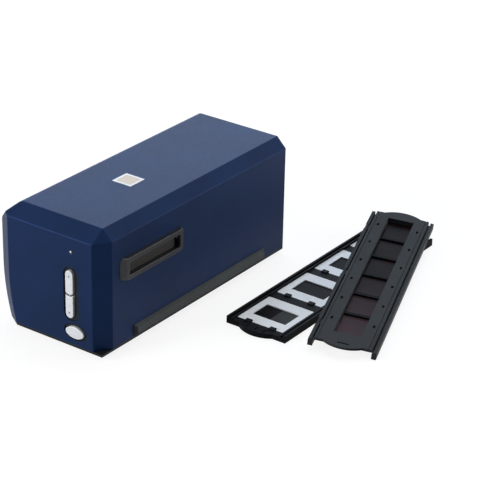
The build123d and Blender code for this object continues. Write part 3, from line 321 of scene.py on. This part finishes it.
def clear_light_pipe():
    """Tinted acrylic light pipe, unlit: a dark window with a sharp glint."""
    return new_finish("smoked_acrylic", Base_Color=linear("#0d1420"), Roughness=0.08, IOR=1.49,
                      Coat_Weight=0.5)[0]


def solder_mask(name, colour, dark):
    """Green solder mask over copper, glossy with faint tracks."""
    material, tree, shader, place = new_finish(name, Roughness=0.3, IOR=1.5)
    cells = add(tree, "ShaderNodeTexBrick", {"Vector": place, "Scale": per_mm(6.0), "Color1": linear(colour),
                                            "Color2": linear(dark), "Mortar": linear("#3f7a52")})
    tree.links.new(cells.outputs[0], shader.inputs["Base Color"])
    return material


def tinned_shell():
    """Tinned steel shell of a socket, bright but slightly clouded."""
    return new_finish("tinned_steel", Metallic=1.0, Roughness=0.3, Base_Color=linear("#b9bbbd"))[0]


def white_mount():
    """White polystyrene slide mount: very slightly grey, with a fine satin grain."""
    return moulded_finish("white_polystyrene", "#f3f4f5", "#edeff1", 0.6, 0.4, Specular_IOR_Level=0.15)


def slide_film():
    """Processed transparency film: near black and matt, half of the nearest slide a lighter grey."""
    material, tree, shader, place = new_finish("transparency_film", Roughness=0.35, IOR=1.5,
                                               Specular_IOR_Level=0.02)
    low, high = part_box("slide_films")
    axes = add(tree, "ShaderNodeSeparateXYZ", {0: place}).outputs
    first = add(tree, "ShaderNodeMath", {0: axes[1], 1: low.y + NEAREST_SLIDE},
                operation="LESS_THAN").outputs[0]
    right = add(tree, "ShaderNodeMath", {0: axes[0], 1: (low.x + high.x) / 2},
                operation="GREATER_THAN").outputs[0]
    both = add(tree, "ShaderNodeMath", {0: first, 1: right}, operation="MULTIPLY").outputs[0]
    dark = two_tone(tree, spread(tree, mottle(tree, place, 14.0), 0.0, 1.0), "#08090a", "#130f10")
    tree.links.new(two_tone(tree, both, dark, "#3b3d3e"), shader.inputs["Base Color"])
    return material


def negative_film():
    """Colour negative: soft clouds of maroon dye, nearly black towards the far end."""
    material, tree, shader, place = new_finish("colour_negative_film", Roughness=0.35, IOR=1.5,
                                               Specular_IOR_Level=0.02)
    across, along = strip_local(tree, place)
    reach = FRAME_COUNT * FRAME_PITCH / 2
    fade = add(tree, "ShaderNodeMapRange", {"Value": along, "From Min": -reach,
                                            "From Max": 0.1 * reach}).outputs[0]
    cloud = spread(tree, mottle(tree, place, 16.0, 2.0), 0.0, 1.0)
    near = two_tone(tree, cloud, "#4a3339", "#40373b")
    far = two_tone(tree, cloud, "#0b090a", "#1c0e10")
    tree.links.new(two_tone(tree, fade, near, far), shader.inputs["Base Color"])
    return material


# ---------------------------------------------------------------- extra pieces
def disc(name, centre, radius, height, normal, finish, body, segments=32):
    """A low domed disc on a face, riding on a body."""
    mesh = bpy.data.meshes.new(name)
    piece = bpy.data.objects.new(name, mesh)
    bpy.context.scene.collection.objects.link(piece)
    shape = bmesh.new()
    loops = []
    for share, lift in DOME:
        ring = [shape.verts.new((radius * share * math.cos(a), radius * share * math.sin(a), height * lift))
                for a in (2 * math.pi * n / segments for n in range(segments))]
        loops.append(ring)
    for outer, inner in zip(loops, loops[1:]):
        for n in range(segments):
            m = (n + 1) % segments
            shape.faces.new((outer[n], outer[m], inner[m], inner[n]))
    shape.faces.new(loops[-1])
    shape.faces.new(list(reversed(loops[0])))
    for face in shape.faces:
        face.smooth = True
    shape.to_mesh(mesh)
    shape.free()
    turn = Vector(normal).to_track_quat("Z", "Y").to_matrix().to_4x4()
    piece.matrix_world = Matrix.Translation(centre) @ turn
    mesh.materials.append(finish)
    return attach(piece, body)


def button_marks():
    """A small grey dot near the outer end of each long button."""
    ink = new_finish("grey_pad_print", Base_Color=linear("#8a9097"), Roughness=0.6)[0]
    for node, body, at_top in (("scan_button_upper", "upper_button", True),
                               ("scan_button_lower", "lower_button", False)):
        low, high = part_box(node)
        z = high.z - DOT_FROM_END if at_top else low.z + DOT_FROM_END
        centre = Vector(((low.x + high.x) / 2, low.y + DOT_SINK, z))
        disc("dot_" + node, centre, DOT_RADIUS, DOT_HEIGHT, (0, -1, 0), ink, body)


def led_painted_glint():
    """A painted glint: a small glowing white bead on the smoked window, standing in for the light's
    reflection on it.
    """
    low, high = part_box("led_light_pipe")
    # Painted highlight: the bead glows a little, though the light pipe is unlit.
    bright = new_finish("painted_glint_bead", Base_Color=linear("#dfe8f2"), Roughness=0.1, IOR=1.49,
                        Emission_Color=linear("#dfe8f2"), Emission_Strength=0.3)[0]
    centre = Vector(((low.x + high.x) / 2, low.y + BEAD_SINK, (low.z + high.z) / 2 + BEAD_RISE))
    disc("led_painted_glint", centre, BEAD_RADIUS, BEAD_HEIGHT, (0, -1, 0), bright, "scanner")


# ---------------------------------------------------------------- studio
def light_path_share(tree):
    """1 for what the camera, a reflection or glass sees; 0 for light that falls on the object."""
    rays = add(tree, "ShaderNodeLightPath").outputs
    seen = add(tree, "ShaderNodeMath", {0: rays["Is Camera Ray"], 1: rays["Is Glossy Ray"]},
               operation="MAXIMUM")
    return add(tree, "ShaderNodeMath", {0: seen.outputs[0], 1: rays["Is Transmission Ray"]},
               operation="MAXIMUM").outputs[0]


def studio_floor():
    """White table: bounces a little light, and shows white with the object's soft shadow on it."""
    bpy.ops.mesh.primitive_plane_add(size=12.0, location=(0, 0, 0))
    floor = bpy.context.object
    floor.name = "studio_floor"
    material, tree, shader, _ = new_finish("white_studio_floor", Roughness=0.9,
                                           Base_Color=linear("#808080"), Specular_IOR_Level=0.0)
    shader.inputs["Emission Color"].default_value = (1, 1, 1, 1)
    glow = add(tree, "ShaderNodeMath", {0: light_path_share(tree), 1: FLOOR_GLOW},
               operation="MULTIPLY").outputs[0]
    tree.links.new(glow, shader.inputs["Emission Strength"])
    floor.data.materials.append(material)


def soft_box(name, direction, distance, size, level, colour="#ffffff"):
    """A square lamp that faces the scanner; level is how bright it makes a white card turned to it."""
    lamp = bpy.data.lights.new(name, "AREA")
    lamp.shape = "SQUARE"
    lamp.size = size
    lamp.energy = level * math.pi ** 2 * distance ** 2
    lamp.color = linear(colour)[:3]
    box = bpy.data.objects.new(name, lamp)
    bpy.context.scene.collection.objects.link(box)
    away = Vector(direction).normalized()
    box.location = LIT_PLACE + away * distance
    box.rotation_euler = (-away).to_track_quat("-Z", "Y").to_euler()


def studio_light():
    """White surround with a low fill, a broad box behind that sheens the top, and two side boxes."""
    world = bpy.data.worlds.new("studio")
    bpy.context.scene.world = world
    world.use_nodes = True
    tree = world.node_tree
    background = tree.nodes["Background"]
    background.inputs["Color"].default_value = (1, 1, 1, 1)
    strength = add(tree, "ShaderNodeMapRange", {"Value": light_path_share(tree),
                                                "To Min": FILL, "To Max": 1.0})
    tree.links.new(strength.outputs[0], background.inputs["Strength"])
    soft_box("rear_box", (-0.52, 0.73, 0.44), 2.0, 2.4, 0.8, "#c6e2ff")
    soft_box("top_box", (0.0, 0.2, 1.0), 1.8, 1.2, 0.35)
    soft_box("front_left_box", (-0.5, -0.82, 0.28), 1.6, 0.8, 0.9)
    soft_box("right_rear_box", (0.7, 0.7, 0.12), 1.8, 0.8, 0.65)


def camera():
    """The photograph's own viewpoint."""
    data = bpy.data.cameras.new("camera")
    data.lens = CAMERA_LENS
    data.sensor_width = SENSOR
    data.clip_end = 20.0
    eye = bpy.data.objects.new("camera", data)
    bpy.context.scene.collection.objects.link(eye)
    turn = (Matrix.Rotation(CAMERA_AZIMUTH, 4, "Z") @ Matrix.Rotation(math.pi / 2 - CAMERA_ELEVATION, 4, "X")
            @ Matrix.Rotation(CAMERA_ROLL, 4, "Z"))
    eye.matrix_world = Matrix.Translation(CAMERA_PLACE) @ turn
    bpy.context.scene.camera = eye


# ---------------------------------------------------------------- the scene
black = black_abs()
zinc = zinc_plated_steel()
steel = ground_steel()
green_board = solder_mask("green_solder_mask", "#1f5a35", "#1b4f2f")
dead_black = moulded_finish("dead_black_abs", "#101113", "#0c0d0e", 0.8, 0.7)

wear("upper_cover", finish=painted_navy())
wear("base_tray", "rear_panel", "button_escutcheon", "power_escutcheon", "dc_jack", finish=black)
wear("slot_bezel_right", "slot_bezel_left", finish=bezel_abs())
wear("side_rail", finish=rail_abs())
wear("rubber_feet", finish=matt_rubber())
wear("cover_screws", "chassis_screws", "board_screws", "chassis_plate", "motor_bracket",
     "stepper_motor", finish=zinc)
wear("guide_rods", "lead_screw", "flap_pins", "strip_hinge_pins", "detent_spring", finish=steel)
wear("top_label", finish=label_paper())
wear("channel_floor", "channel_roof", "carriage_frame", "lamp_bar", "rod_clips", "screw_bearing",
     "lens_barrel", "ccd_sensor", finish=dead_black)
wear("diffuser_window", finish=opal_acrylic())
wear("dust_flap_right", "dust_flap_left", finish=flap_finish())
wear("scan_button_upper", "scan_button_lower", "power_button", finish=pearl_button())
wear("led_light_pipe", finish=clear_light_pipe())
wear("button_board", "main_board", "ccd_board", finish=green_board)
wear("usb_socket", finish=tinned_shell())
wear("fold_mirror", finish=first_surface_mirror())
wear("lens_elements", finish=coated_glass())
wear("lead_nut", finish=turned_brass())
wear("slide_holder_frame", finish=holder_black())
wear("slide_mounts", finish=white_mount())
wear("slide_films", finish=slide_film())
wear("strip_holder_base", finish=strip_holder_slate())
wear("strip_holder_cover", finish=strip_cover_slate())
wear("film_strip", finish=negative_film())

button_marks()
led_painted_glint()
studio_floor()
studio_light()
camera()

bpy.context.scene.view_settings.view_transform = "Standard"
